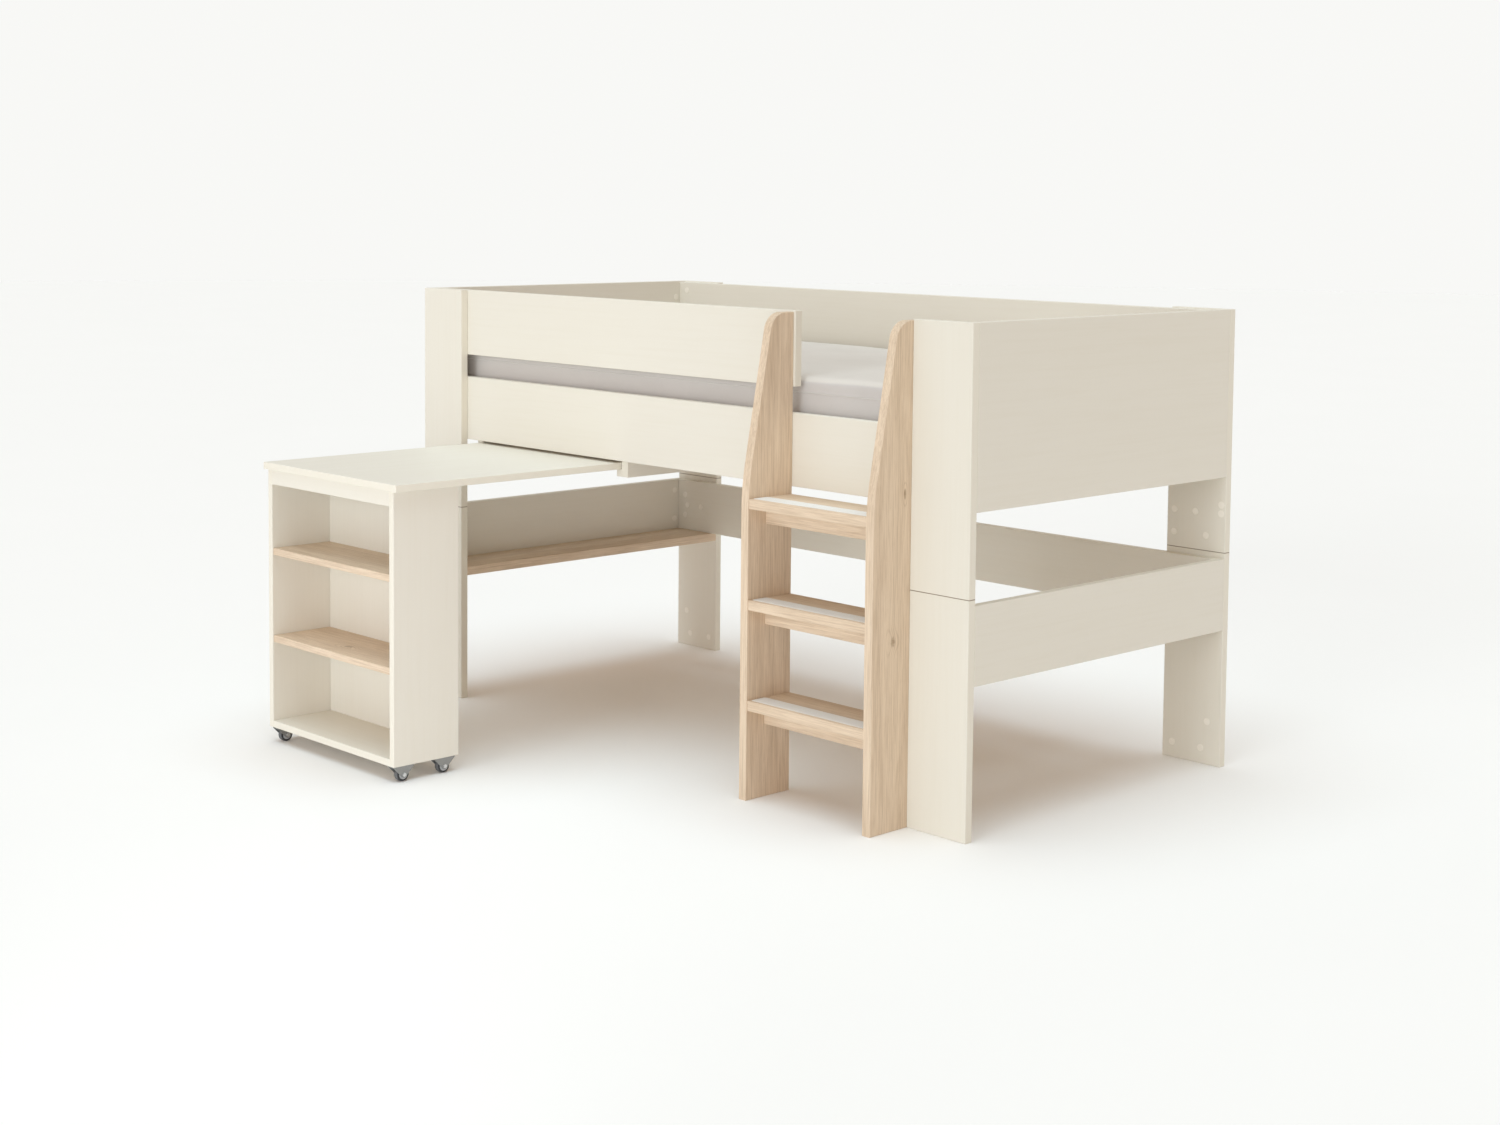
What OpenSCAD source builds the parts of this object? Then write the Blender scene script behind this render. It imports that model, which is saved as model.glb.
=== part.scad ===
// Loft bed with a pull-out desk. Millimetres, +Z up, X along the bed, +Y away from the ladder.
// The origin is on the floor under the middle of the whole part, with the desk pulled out.

/* [Bed] */
// Outer length of the bed
bed_l = 2060; // [2056:1:2080]
// Outer depth of the bed, from the front posts' faces to the rear posts' faces
bed_d = 1005; // [1000:1:1020]
// Height of the posts and of the guard board
bed_h = 1163; // [1150:1:1200]
// Thickness of the cream boards
board_t = 22; // [20:1:24]
// Width of each post
post_w = 176; // [160:1:190]
// Height of the seam between a post's lower and upper half
seam_z = 548; // [545:1:580]
// Height of the guard board and the lower end rails
rail_h = 182; // [170:1:190]
// Height of the side rail
side_rail_h = 177; // [170:1:190]
// Underside of the side rail and of the end panels
side_rail_z = 741; // [736:1:750]
// Underside of the lower end rails
low_rail_z = 351; // [340:1:360]

/* [Ladder] */
// Thickness of the ladder's stiles
stile_t = 24; // [20:1:28]
// Distance between the two stiles
ladder_clear = 380; // [340:1:400]
// How far the stiles stand in front of the posts
stile_reach = 123; // [110:1:140]
// Height at which a stile begins to lean back
stile_bend_z = 750; // [700:10:800]
// Lean of a stile's upper front edge, in degrees
stile_lean = 10.5; // [8:0.5:12]
// Radius of a stile's upper front corner
stile_corner_r = 48; // [30:1:60]
// Height from one tread to the next
tread_pitch = 241; // [230:1:250]
// Thickness of a tread
tread_t = 24; // [20:1:28]

/* [Mattress and slats] */
// Length of the mattress
mattress_l = 2000; // [1900:10:2000]
// Width of the mattress
mattress_w = 900; // [800:10:900]
// Thickness of the mattress
mattress_h = 145; // [120:5:150]
// Height of the slats' upper faces
slat_top_z = 855; // [840:1:880]
// Number of slats
slat_count = 13; // [10:1:14]

/* [Desk] */
// How far the pulled-out desk stands in front of the posts
desk_reach = 665; // [640:5:680]
// Width of the desk top
desk_w = 600; // [560:10:600]
// Length of the desk top
desk_l = 910; // [880:10:930]
// Height of the desk top's upper face
desk_top_z = 734; // [725:1:735]
// Thickness of the desk top and the bookcase's boards
shelf_t = 18; // [16:1:20]
// Depth of the bookcase under the desk top
case_d = 193; // [180:1:240]
// Height of the bookcase above the floor
case_z = 39; // [39:1:44]
// Diameter of the castor wheels
castor_d = 35; // [34:1:35]

/* [Hidden] */
$fn = 48;
edge_ease = 1;
left_x = -bed_l / 2;
right_x = bed_l / 2;
front_y = -(bed_d - desk_reach) / 2;
back_y = front_y + bed_d;
mid_y = (front_y + back_y) / 2;
front_in = front_y + board_t;
back_in = back_y - board_t;
rail_in = front_in + board_t;
rear_in = back_in - board_t;
lefts_rights = [-1, 1];
end_panel_h = bed_h - side_rail_z;
rear_panel_h = end_panel_h - 3;
end_shelf_t = 25;
stretcher_z = low_rail_z + end_shelf_t;
stretcher_h = rail_h - end_shelf_t;

// Fixings: radii, and the free play between a fixing and its hole
fixing_gap = 0.05;
cap_r = 9;
cap_t = 1.2;
cap_hole_r = 8;
cap_hole_depth = 5.5;
cap_collar_t = 1.3;
bolt_r = 3;
bolt_head_r = 6.5;
bolt_grip = 14;
dowel_r = 4;
dowel_in_face = 12;
dowel_in_edge = 28;
seam_dowel_r = 5;
seam_dowel_l = 80;
seam_dowel_x = [45, post_w - 45];

// Places of the fixings, in from a corner post's outer edge and up from the board's lower edge
upper_post_caps = [[13, 99], [13, 121], [57, 39], [90, 97], [154, 39], [154, 97]];
lower_post_caps = [[41, 111], [59, 40], [146, 40]];
stretcher_bolts = [[55, 46], [55, 110], [66, 78], [129, 78]];
end_rail_caps = [[60, 58], [60, 148]];
end_panel_caps = [[60, 50], [60, end_panel_h - 50]];
side_bolts = [for (x = [60, 130], z = [45, rail_h - 45]) [x, z]];
panel_bolts = [[60, 45], [130, 45], [130, end_panel_h / 2], [56, end_panel_h - 28]];
end_panel_dowels = [39, end_panel_h / 2, end_panel_h - 39];
end_rail_dowels = [40, rail_h - 40];
shelf_dowel_x = [55, 140];

// Ladder, derived
stile_top = bed_h - 3;
stile_left_x = right_x - post_w - 2 * stile_t - ladder_clear;
stile_right_x = right_x - post_w - stile_t;
stile_front_y = front_y - stile_reach;
stile_bend_r = 600;
ladder_x = stile_left_x + stile_t;
tread_d = 140;
tread_front_y = stile_front_y + 2;
strip_w = 46;
strip_t = 1;
strip_inset = 9;
strip_end_gap = 5;
apron_h = 40;
apron_t = 18;
apron_setback = 56;
tread_dowel_l = 34;
tread_dowel_in = 14;
guard_end_x = ladder_x + 6;
ladder_bolt_l = 60;
ladder_bolt_z = [45, rail_h - 45];

// Slats, derived
slat_w = 70;
slat_t = 18;
slat_play = 2;
bearer_t = 25;
bearer_h = 40;
bearer_z = slat_top_z - slat_t - bearer_h;
bearer_l = bed_l - 2 * board_t - 20;
slat_span = bed_l - 2 * board_t - slat_w - 60;
slat_x = [for (i = [0 : slat_count - 1]) -slat_span / 2 + i * slat_span / (slat_count - 1)];
bearer_screw_x = [for (i = [-3 : 3]) i * (bearer_l - 120) / 6];
screw_r = 2;
screw_head_r = 4;
screw_head_t = 2.4;

// Desk, derived
desk_x = left_x + post_w + 46;
desk_y = front_y - desk_reach;
desk_under = desk_top_z - shelf_t;
case_insets = [13, 20];
case_front_inset = 6;
case_w = desk_w - case_insets[0] - case_insets[1];
case_x = desk_x + case_insets[0];
case_y = desk_y + case_front_inset;
case_side_t = shelf_t;
case_back_t = 17;
case_back_y = case_y + case_d - case_back_t - 2;
case_in_x = case_x + case_side_t;
case_in_w = case_w - 2 * case_side_t;
case_apron_h = 38;
case_shelf_z = [264, 493];
case_shelf_front = 3;
side_x = [case_x, case_x + case_w - case_side_t];
case_dowel_l = 30;
case_dowel_in = 12;

// Runners that carry the desk top's two edges
runner_gap = 2;
runner_web_t = 24;
runner_top_z = 795;
// Each ledge ends short of the bookcase's side, which passes it as the desk rolls in
runner_clear = 2;
runner_ledge_w = [for (inset = case_insets) inset + runner_gap - runner_clear];
runner_ledge_top = desk_under - 0.5;
runner_ledge_t = 19.5;
runner_l = rear_in - rail_in;
runner_dowel_z = [side_rail_z + 16, side_rail_z + 38];
runner_x = [
    desk_x - runner_gap - runner_web_t / 2,
    desk_x + desk_w + runner_gap + runner_web_t / 2
];

// Castors
castor_w = 24;
castor_l = 60;
castor_sheet = 2;
castor_nose_r = 8;
castor_x = [case_x + 14 + castor_w / 2, case_x + case_w - 1 - castor_w / 2];
castor_y = [case_y + 1 + castor_l / 2, case_y + case_d - 11 - castor_l / 2];
castor_spots = [for (y = castor_y, x = castor_x) [x, y]];
wheel_w = 16;
hub_r = 12;
axle_r = 3;
axle_z = castor_d / 2;
castor_screw_y = 22;

cream = "#efe6d6";
oak = "#d9bd98";
pine = "#e6cf9f";
steel = "#a9acae";

// ---- Shared shapes ----

// A rectangle a by b with its corners cut back by e
function eased_outline(a, b, e) =
    [[e, 0], [a - e, 0], [a, e], [a, b - e], [a - e, b], [e, b], [0, b - e], [0, e]];

// Points of an arc, from angle a0 to angle a1
function arc(centre, r, a0, a1, steps) =
    [for (i = [0 : steps]) let (a = a0 + (a1 - a0) * i / steps) centre + r * [cos(a), sin(a)]];

// A board between two corners, with all its edges eased
module board(lo, size) {
    translate(lo)
        intersection() {
            linear_extrude(size.z) polygon(eased_outline(size.x, size.y, edge_ease));
            translate([0, size.y, 0]) rotate([90, 0, 0])
                linear_extrude(size.y) polygon(eased_outline(size.x, size.z, edge_ease));
            rotate([90, 0, 90]) linear_extrude(size.x) polygon(eased_outline(size.y, size.z, edge_ease));
        }
}

// Places its children at a corner of the bed: X runs in from the outer edge, Y in from the outer face
module at_corner(side, row) {
    translate([side * bed_l / 2, mid_y + row * bed_d / 2, 0])
        mirror([side > 0 ? 1 : 0, 0, 0])
            mirror([0, row > 0 ? 1 : 0, 0])
                children();
}

module at_corners() {
    for (side = lefts_rights, row = lefts_rights) at_corner(side, row) children();
}

// A rod of radius r along +Y, from y0 for length l
module rod_y(x, y0, z, r, l) {
    translate([x, y0, z]) rotate([-90, 0, 0]) cylinder(r = r, h = l);
}

// The same along +X
module rod_x(x0, y, z, r, l) {
    translate([x0, y, z]) rotate([0, 90, 0]) cylinder(r = r, h = l);
}

// A blind hole for a cover cap, in a face at y that looks along +Y
module cap_hole(x, y, z) {
    rod_y(x, y - cap_hole_depth, z, cap_hole_r, cap_hole_depth + 1);
}

module cap(x, y, z) {
    rod_y(x, y, z, cap_r, cap_t * 0.6);
    translate([x, y + cap_t * 0.6, z]) rotate([-90, 0, 0])
        cylinder(r1 = cap_r, r2 = cap_r - 1, h = cap_t * 0.4);
    rod_y(x, y - cap_collar_t, z, cap_hole_r - fixing_gap, cap_collar_t);
}

// A bolt that holds a board's inner face at y against the post or stile behind it
module board_bolt(x, y, z, l) {
    rod_y(x, y - cap_hole_depth, z, bolt_head_r, cap_hole_depth - cap_collar_t - 0.2);
    rod_y(x, y - board_t - l, z, bolt_r, board_t + l - cap_hole_depth);
}

module bolt_hole(x, y, z, l) {
    cap_hole(x, y, z);
    rod_y(x, y - board_t - l - 1, z, bolt_r + fixing_gap, board_t + l);
}

// ---- Posts ----

module lower_post(side, row) {
    color(cream) at_corner(side, row)
        difference() {
            board([0, 0, 0], [post_w, board_t, seam_z]);
            for (c = lower_post_caps) cap_hole(c.x, board_t, c.y);
            for (x = seam_dowel_x) seam_bore(x);
            for (z = end_rail_dowels) rod_y(board_t / 2, board_t - dowel_in_face - 1, low_rail_z + z,
                dowel_r + fixing_gap, dowel_in_face + 2);
            if (side < 0) shelf_bores();
            if (row > 0) for (b = stretcher_bolts)
                bolt_hole(b.x, 2 * board_t, stretcher_z + b.y, bolt_grip);
        }
}

module upper_post(side, row) {
    color(cream) at_corner(side, row)
        difference() {
            board([0, 0, seam_z], [post_w, board_t, bed_h - seam_z]);
            for (c = upper_post_caps) cap_hole(c.x, board_t, seam_z + c.y);
            for (x = seam_dowel_x) seam_bore(x);
            for (z = end_panel_dowels) rod_y(board_t / 2, board_t - dowel_in_face - 1, side_rail_z + z,
                dowel_r + fixing_gap, dowel_in_face + 2);
            upper_post_bolts(side, row) bolt_hole(0, 2 * board_t, 0, bolt_grip);
        }
}

// Puts a bolt or its hole at each place where a long board meets an upper post
module upper_post_bolts(side, row) {
    spots = row > 0 ? panel_bolts : side_bolts;
    for (b = spots) translate([b.x, 0, side_rail_z + b.y]) children();
    if (row < 0 && side < 0) for (b = side_bolts) translate([b.x, 0, bed_h - rail_h + b.y]) children();
}

module seam_bore(x) {
    translate([x, board_t / 2, seam_z - seam_dowel_l / 2 - 1])
        cylinder(r = seam_dowel_r + fixing_gap, h = seam_dowel_l + 2);
}

module shelf_bores() {
    for (x = shelf_dowel_x) rod_y(x, board_t - dowel_in_face - 1, low_rail_z + end_shelf_t / 2,
        dowel_r + fixing_gap, dowel_in_face + 2);
}

module post_front_left_lower() { lower_post(-1, -1); }
module post_front_left_upper() { upper_post(-1, -1); }
module post_front_right_lower() { lower_post(1, -1); }
module post_front_right_upper() { upper_post(1, -1); }
module post_rear_left_lower() { lower_post(-1, 1); }
module post_rear_left_upper() { upper_post(-1, 1); }
module post_rear_right_lower() { lower_post(1, 1); }
module post_rear_right_upper() { upper_post(1, 1); }

// ---- End panels and end rails ----

// An upright board between a front and a rear post, with dowel bores in both its edges, and
// cap holes near both ends of its inner face
module end_board(side, z0, h, dowels, caps) {
    x0 = side < 0 ? left_x : right_x - board_t;
    color(cream) difference() {
        board([x0, front_in, z0], [board_t, bed_d - 2 * board_t, h]);
        for (z = dowels, y = [front_in - 1, back_in - dowel_in_edge - 1])
            rod_y(x0 + board_t / 2, y, z0 + z, dowel_r + fixing_gap, dowel_in_edge + 2);
        for (row = lefts_rights) at_corner(side, row) end_board_fittings(z0, caps) cap_hole(0, 0, 0);
    }
}

// Puts a cap or its hole at each place on an end board's inner face, near one corner post
module end_board_fittings(z0, caps) {
    for (c = caps) translate([board_t, c.x, z0 + c.y]) rotate([0, 0, -90]) children();
}

module end_panel(side) { end_board(side, side_rail_z, end_panel_h, end_panel_dowels, end_panel_caps); }
module end_rail(side) { end_board(side, low_rail_z, rail_h, end_rail_dowels, end_rail_caps); }
module end_panel_left() { end_panel(-1); }
module end_panel_right() { end_panel(1); }
module end_rail_left() { end_rail(-1); }
module end_rail_right() { end_rail(1); }

// ---- Long boards ----

module rear_panel() {
    color(cream) difference() {
        board([left_x + board_t, rear_in, side_rail_z], [bed_l - 2 * board_t, board_t, rear_panel_h]);
        for (side = lefts_rights) at_corner(side, 1)
            for (b = panel_bolts) bolt_hole(b.x, 2 * board_t, side_rail_z + b.y, bolt_grip);
        for (x = runner_x) runner_bores(x, rear_in - 1);
        bearer_screw_row(1, fixing_gap);
    }
}

module rear_stretcher() {
    color(cream) difference() {
        board([left_x + board_t, rear_in, stretcher_z], [bed_l - 2 * board_t, board_t, stretcher_h]);
        for (side = lefts_rights) at_corner(side, 1)
            for (b = stretcher_bolts) bolt_hole(b.x, 2 * board_t, stretcher_z + b.y, bolt_grip);
    }
}

module side_rail() {
    color(cream) difference() {
        board([left_x + board_t, front_in, side_rail_z], [bed_l - 2 * board_t, board_t, side_rail_h]);
        for (side = lefts_rights) at_corner(side, -1)
            for (b = side_bolts) bolt_hole(b.x, 2 * board_t, side_rail_z + b.y, bolt_grip);
        ladder_rail_bolts() bolt_hole(0, 0, 0, ladder_bolt_l);
        for (x = runner_x) runner_bores(x, rail_in - dowel_in_face);
        bearer_screw_row(-1, fixing_gap);
    }
}

module guard_board() {
    z0 = bed_h - rail_h;
    color(cream) difference() {
        board([left_x + board_t, front_in, z0], [guard_end_x - left_x - board_t, board_t, rail_h]);
        at_corner(-1, -1) for (b = side_bolts) bolt_hole(b.x, 2 * board_t, z0 + b.y, bolt_grip);
        ladder_guard_bolts() bolt_hole(0, 0, 0, ladder_bolt_l);
    }
}

module end_shelf() {
    color(oak) difference() {
        board([left_x + board_t, front_in, low_rail_z],
            [post_w - board_t, bed_d - 2 * board_t, end_shelf_t]);
        for (x = shelf_dowel_x, y = [front_in - 1, back_in - dowel_in_edge - 1])
            rod_y(left_x + x, y, low_rail_z + end_shelf_t / 2, dowel_r + fixing_gap, dowel_in_edge + 2);
    }
}

// ---- Ladder ----

// A stile's side view: upright in front, leaning back above the bend, with one round upper corner
function stile_outline(inset) =
    let (
        rear = front_in - inset,
        front = stile_front_y + inset,
        top = stile_top - inset,
        r = stile_corner_r - inset,
        lean = [sin(stile_lean), cos(stile_lean)],
        tangent = stile_bend_r * tan(stile_lean / 2),
        rise = (top - r - stile_bend_z + lean.x * r) / lean.y,
        corner = [front, stile_bend_z] + rise * lean + r * [lean.y, -lean.x]
    )
    concat(
        [[rear, inset], [front, inset]],
        arc([front + stile_bend_r, stile_bend_z - tangent], stile_bend_r, 180, 180 - stile_lean, 6),
        arc(corner, r, 180 - stile_lean, 90, 12),
        [[rear, top]]
    );

module stile(x0) {
    color(oak) difference() {
        hull() {
            translate([x0 + edge_ease, 0, 0]) rotate([90, 0, 90])
                linear_extrude(stile_t - 2 * edge_ease) polygon(stile_outline(0));
            translate([x0, 0, 0]) rotate([90, 0, 90])
                linear_extrude(stile_t) polygon(stile_outline(edge_ease));
        }
        ladder_rail_bolts() bolt_hole(0, 0, 0, ladder_bolt_l);
        ladder_guard_bolts() bolt_hole(0, 0, 0, ladder_bolt_l);
        tread_dowel_places() rod_x(-tread_dowel_in - 1, 0, 0, dowel_r + fixing_gap, tread_dowel_l + 2);
    }
}

module ladder_stile_left() { stile(stile_left_x); }
module ladder_stile_right() { stile(stile_right_x); }

// Puts a bolt or its hole at each place where the side rail meets a stile
module ladder_rail_bolts() {
    for (x = [stile_left_x, stile_right_x], z = ladder_bolt_z)
        translate([x + stile_t / 2, rail_in, side_rail_z + z]) children();
}

module ladder_guard_bolts() {
    for (z = ladder_bolt_z) translate([stile_left_x + stile_t / 2, rail_in, bed_h - rail_h + z]) children();
}

module tread(i) {
    z0 = i * tread_pitch - tread_t;
    color(oak) difference() {
        board([ladder_x, tread_front_y, z0], [ladder_clear, tread_d, tread_t]);
        tread_dowel_places() rod_x(-tread_dowel_l - 1, 0, 0, dowel_r + fixing_gap, 2 * tread_dowel_l + 2);
    }
}

module tread_apron(i) {
    z1 = i * tread_pitch - tread_t;
    color(oak) difference() {
        board([ladder_x, tread_front_y + apron_setback, z1 - apron_h], [ladder_clear, apron_t, apron_h]);
        tread_dowel_places() rod_x(-tread_dowel_l - 1, 0, 0, dowel_r + fixing_gap, 2 * tread_dowel_l + 2);
    }
}

// Puts its children at the inner face of a stile, at each dowel of the treads and aprons
module tread_dowel_places() {
    for (i = [1 : 3]) {
        z = i * tread_pitch - tread_t;
        for (x = [ladder_x, ladder_x + ladder_clear]) translate([x, tread_front_y, z]) {
            mirrored = x > ladder_x ? 1 : 0;
            for (y = [30, tread_d - 25]) translate([0, y, tread_t / 2]) mirror([mirrored, 0, 0]) children();
            translate([0, apron_setback + apron_t / 2, -apron_h / 2]) mirror([mirrored, 0, 0]) children();
        }
    }
}

module tread_1() { tread(1); }
module tread_2() { tread(2); }
module tread_3() { tread(3); }
module tread_apron_1() { tread_apron(1); }
module tread_apron_2() { tread_apron(2); }
module tread_apron_3() { tread_apron(3); }

module anti_slip_strips() {
    color("#e4e6e4") for (i = [1 : 3])
        translate([ladder_x + strip_end_gap, tread_front_y + strip_inset, i * tread_pitch])
            linear_extrude(strip_t) polygon(eased_outline(ladder_clear - 2 * strip_end_gap, strip_w, 3));
}

// ---- Slats and bearers ----

module bearer(y0, row) {
    color(pine) difference() {
        board([-bearer_l / 2, y0, bearer_z], [bearer_l, bearer_t, bearer_h]);
        bearer_screw_row(row, fixing_gap);
    }
}

// The screws of the front or the rear bearer, with their heads on its inner face
module bearer_screw_row(row, gap) {
    y = row < 0 ? rail_in + bearer_t : rear_in - bearer_t;
    for (x = bearer_screw_x) translate([x, y, bearer_z + bearer_h / 2])
        mirror([0, row > 0 ? 1 : 0, 0]) bearer_screw(gap);
}

// A countersunk screw whose head lies flush with a face that looks along +Y
module bearer_screw(gap) {
    rod_y(0, -bearer_t - 14 - gap, 0, screw_r + gap, bearer_t + 14 + gap);
    translate([0, -screw_head_t - gap, 0]) rotate([-90, 0, 0])
        cylinder(r1 = screw_r + gap, r2 = screw_head_r + gap, h = screw_head_t + gap);
}

module bearer_front() { bearer(rail_in, -1); }
module bearer_rear() { bearer(rear_in - bearer_t, 1); }

module slats() {
    color(pine) for (x = slat_x)
        board([x - slat_w / 2, rail_in + slat_play, slat_top_z - slat_t],
            [slat_w, rear_in - rail_in - 2 * slat_play, slat_t]);
}

// ---- Runners ----

// A batten with a ledge along its lower edge; side is the way the ledge points
module runner(x, side, ledge_w) {
    z0 = runner_ledge_top - runner_ledge_t;
    color(cream) difference() {
        translate([x, rail_in + runner_l, 0]) mirror([side < 0 ? 1 : 0, 0, 0]) rotate([90, 0, 0])
            linear_extrude(runner_l) polygon([
                [-runner_web_t / 2, z0],
                [runner_web_t / 2 + ledge_w, z0],
                [runner_web_t / 2 + ledge_w, runner_ledge_top],
                [runner_web_t / 2, runner_ledge_top],
                [runner_web_t / 2, runner_top_z],
                [-runner_web_t / 2, runner_top_z]
            ]);
        for (y = [rail_in - 1, rear_in - dowel_in_edge - 1])
            for (z = runner_dowel_z) rod_y(x, y, z, dowel_r + fixing_gap, dowel_in_edge + 2);
    }
}

module runner_left() { runner(runner_x[0], 1, runner_ledge_w[0]); }
module runner_right() { runner(runner_x[1], -1, runner_ledge_w[1]); }

module runner_bores(x, y0) {
    for (z = runner_dowel_z) rod_y(x, y0, z, dowel_r + fixing_gap, dowel_in_face + 1);
}

// ---- Bed fixings ----

module seam_dowels() {
    color(pine) at_corners() for (x = seam_dowel_x)
        translate([x, board_t / 2, seam_z - seam_dowel_l / 2]) cylinder(r = seam_dowel_r, h = seam_dowel_l);
}

module panel_dowel(x, z) {
    rod_y(x, board_t - dowel_in_face, z, dowel_r, dowel_in_face + dowel_in_edge);
}

module panel_dowels() {
    color(pine) {
        at_corners() {
            for (z = end_panel_dowels) panel_dowel(board_t / 2, side_rail_z + z);
            for (z = end_rail_dowels) panel_dowel(board_t / 2, low_rail_z + z);
        }
        for (row = lefts_rights, x = shelf_dowel_x)
            at_corner(-1, row) panel_dowel(x, low_rail_z + end_shelf_t / 2);
    }
}

module runner_dowels() {
    color(pine) for (x = runner_x, z = runner_dowel_z) {
        rod_y(x, rail_in - dowel_in_face + 1, z, dowel_r, dowel_in_face + dowel_in_edge - 1);
        rod_y(x, rear_in - dowel_in_edge, z, dowel_r, dowel_in_face + dowel_in_edge - 1);
    }
}

module tread_dowels() {
    color(pine) tread_dowel_places() rod_x(-tread_dowel_in, 0, 0, dowel_r, tread_dowel_l);
}

module board_bolts() {
    color(steel) {
        for (side = lefts_rights, row = lefts_rights) at_corner(side, row)
            upper_post_bolts(side, row) board_bolt(0, 2 * board_t, 0, bolt_grip);
        for (side = lefts_rights) at_corner(side, 1) for (b = stretcher_bolts)
            board_bolt(b.x, 2 * board_t, stretcher_z + b.y, bolt_grip);
    }
}

module ladder_bolts() {
    color(steel) {
        ladder_rail_bolts() board_bolt(0, 0, 0, ladder_bolt_l);
        ladder_guard_bolts() board_bolt(0, 0, 0, ladder_bolt_l);
    }
}

module bearer_screws() {
    color(steel) for (row = lefts_rights) bearer_screw_row(row, 0);
}

module cover_caps() {
    color("#f4efe4") {
        at_corners() {
            for (c = upper_post_caps) cap(c.x, board_t, seam_z + c.y);
            for (c = lower_post_caps) cap(c.x, board_t, c.y);
        }
        for (side = lefts_rights, row = lefts_rights) at_corner(side, row) {
            upper_post_bolts(side, row) cap(0, 2 * board_t, 0);
            end_board_fittings(side_rail_z, end_panel_caps) cap(0, 0, 0);
            end_board_fittings(low_rail_z, end_rail_caps) cap(0, 0, 0);
        }
        for (side = lefts_rights) at_corner(side, 1) for (b = stretcher_bolts)
            cap(b.x, 2 * board_t, stretcher_z + b.y);
        ladder_rail_bolts() cap(0, 0, 0);
        ladder_guard_bolts() cap(0, 0, 0);
    }
}

// ---- Mattress ----

module mattress() {
    color("#f2f1ee")
        translate([-mattress_l / 2, (rail_in + rear_in - mattress_w) / 2, slat_top_z + 0.5])
            cube([mattress_l, mattress_w, mattress_h]);
}

// ---- Desk ----

module desk_top() {
    color(cream) difference() {
        board([desk_x, desk_y, desk_under], [desk_w, desk_l, shelf_t]);
        case_dowel_places() case_dowel_up(fixing_gap, 1);
    }
}

module case_side(x0) {
    color(cream) difference() {
        board([x0, case_y, case_z], [case_side_t, case_d, desk_under - case_z]);
        case_dowel_places() case_dowel_up(fixing_gap, 1);
        case_cross_places() case_dowel_across(fixing_gap, 1);
        castor_places() castor_screw_pair(fixing_gap);
    }
}

module case_side_left() { case_side(side_x[0]); }
module case_side_right() { case_side(side_x[1]); }

// A board between the bookcase's sides
module case_board(y0, z0, d, h, tint) {
    color(tint) difference() {
        board([case_in_x, y0, z0], [case_in_w, d, h]);
        case_cross_places() case_dowel_across(fixing_gap, 1);
        castor_places() castor_screw_pair(fixing_gap);
    }
}

module case_back() {
    case_board(case_back_y, case_z + shelf_t, case_back_t, desk_under - case_z - shelf_t, cream);
}

module case_shelf(z) {
    case_board(case_y + case_shelf_front, z, case_back_y - case_y - case_shelf_front, shelf_t, oak);
}

module case_bottom() { case_board(case_y, case_z, case_d - 2, shelf_t, cream); }
module case_apron() { case_board(case_y, desk_under - case_apron_h, shelf_t, case_apron_h, cream); }
module case_shelf_lower() { case_shelf(case_shelf_z[0]); }
module case_shelf_upper() { case_shelf(case_shelf_z[1]); }

// Puts its children where the desk top meets a side, at each upright dowel
module case_dowel_places() {
    for (x = side_x, y = [35, case_d - 35])
        translate([x + case_side_t / 2, case_y + y, desk_under]) children();
}

module case_dowel_up(gap, over) {
    translate([0, 0, case_dowel_in - case_dowel_l - over])
        cylinder(r = dowel_r + gap, h = case_dowel_l + 2 * over);
}

// Puts its children at a side's inner face, at each level dowel, with X pointing into the bookcase
module case_cross_places() {
    back_mid = case_back_y + case_back_t / 2;
    spots = [
        for (y = [30, case_d - 45], z = concat([case_z], case_shelf_z)) [case_y + y, z + shelf_t / 2],
        [case_y + shelf_t / 2, desk_under - case_apron_h / 2],
        for (z = [170, 400, 620]) [back_mid, z]
    ];
    for (s = spots) {
        translate([case_in_x, s.x, s.y]) children();
        translate([case_in_x + case_in_w, s.x, s.y]) mirror([1, 0, 0]) children();
    }
}

module case_dowel_across(gap, over) {
    rod_x(-case_dowel_in - over, 0, 0, dowel_r + gap, case_dowel_l + 2 * over);
}

module case_dowels() {
    color(pine) {
        case_dowel_places() case_dowel_up(0, 0);
        case_cross_places() case_dowel_across(0, 0);
    }
}

// ---- Castors ----

module castor_places() {
    for (s = castor_spots) translate([s.x, s.y, 0]) children();
}

// The bracket's side view: a wide top that narrows to a round nose at the axle
castor_outline = concat(
    [[-castor_l / 2, case_z], [-castor_l / 2, case_z - castor_sheet]],
    arc([0, axle_z], castor_nose_r, 215, 325, 10),
    [[castor_l / 2, case_z - castor_sheet], [castor_l / 2, case_z]]
);

// A sheet-steel fork: a top plate with a cheek each side of the wheel
module castor_brackets() {
    color(steel) castor_places()
        difference() {
            translate([-castor_w / 2, 0, 0]) rotate([90, 0, 90])
                linear_extrude(castor_w) polygon(castor_outline);
            translate([castor_sheet - castor_w / 2, -castor_l, 0])
                cube([castor_w - 2 * castor_sheet, 2 * castor_l, case_z - castor_sheet]);
            rod_x(-castor_w, 0, axle_z, axle_r + fixing_gap, 2 * castor_w);
            castor_screw_pair(fixing_gap);
        }
}

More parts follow.
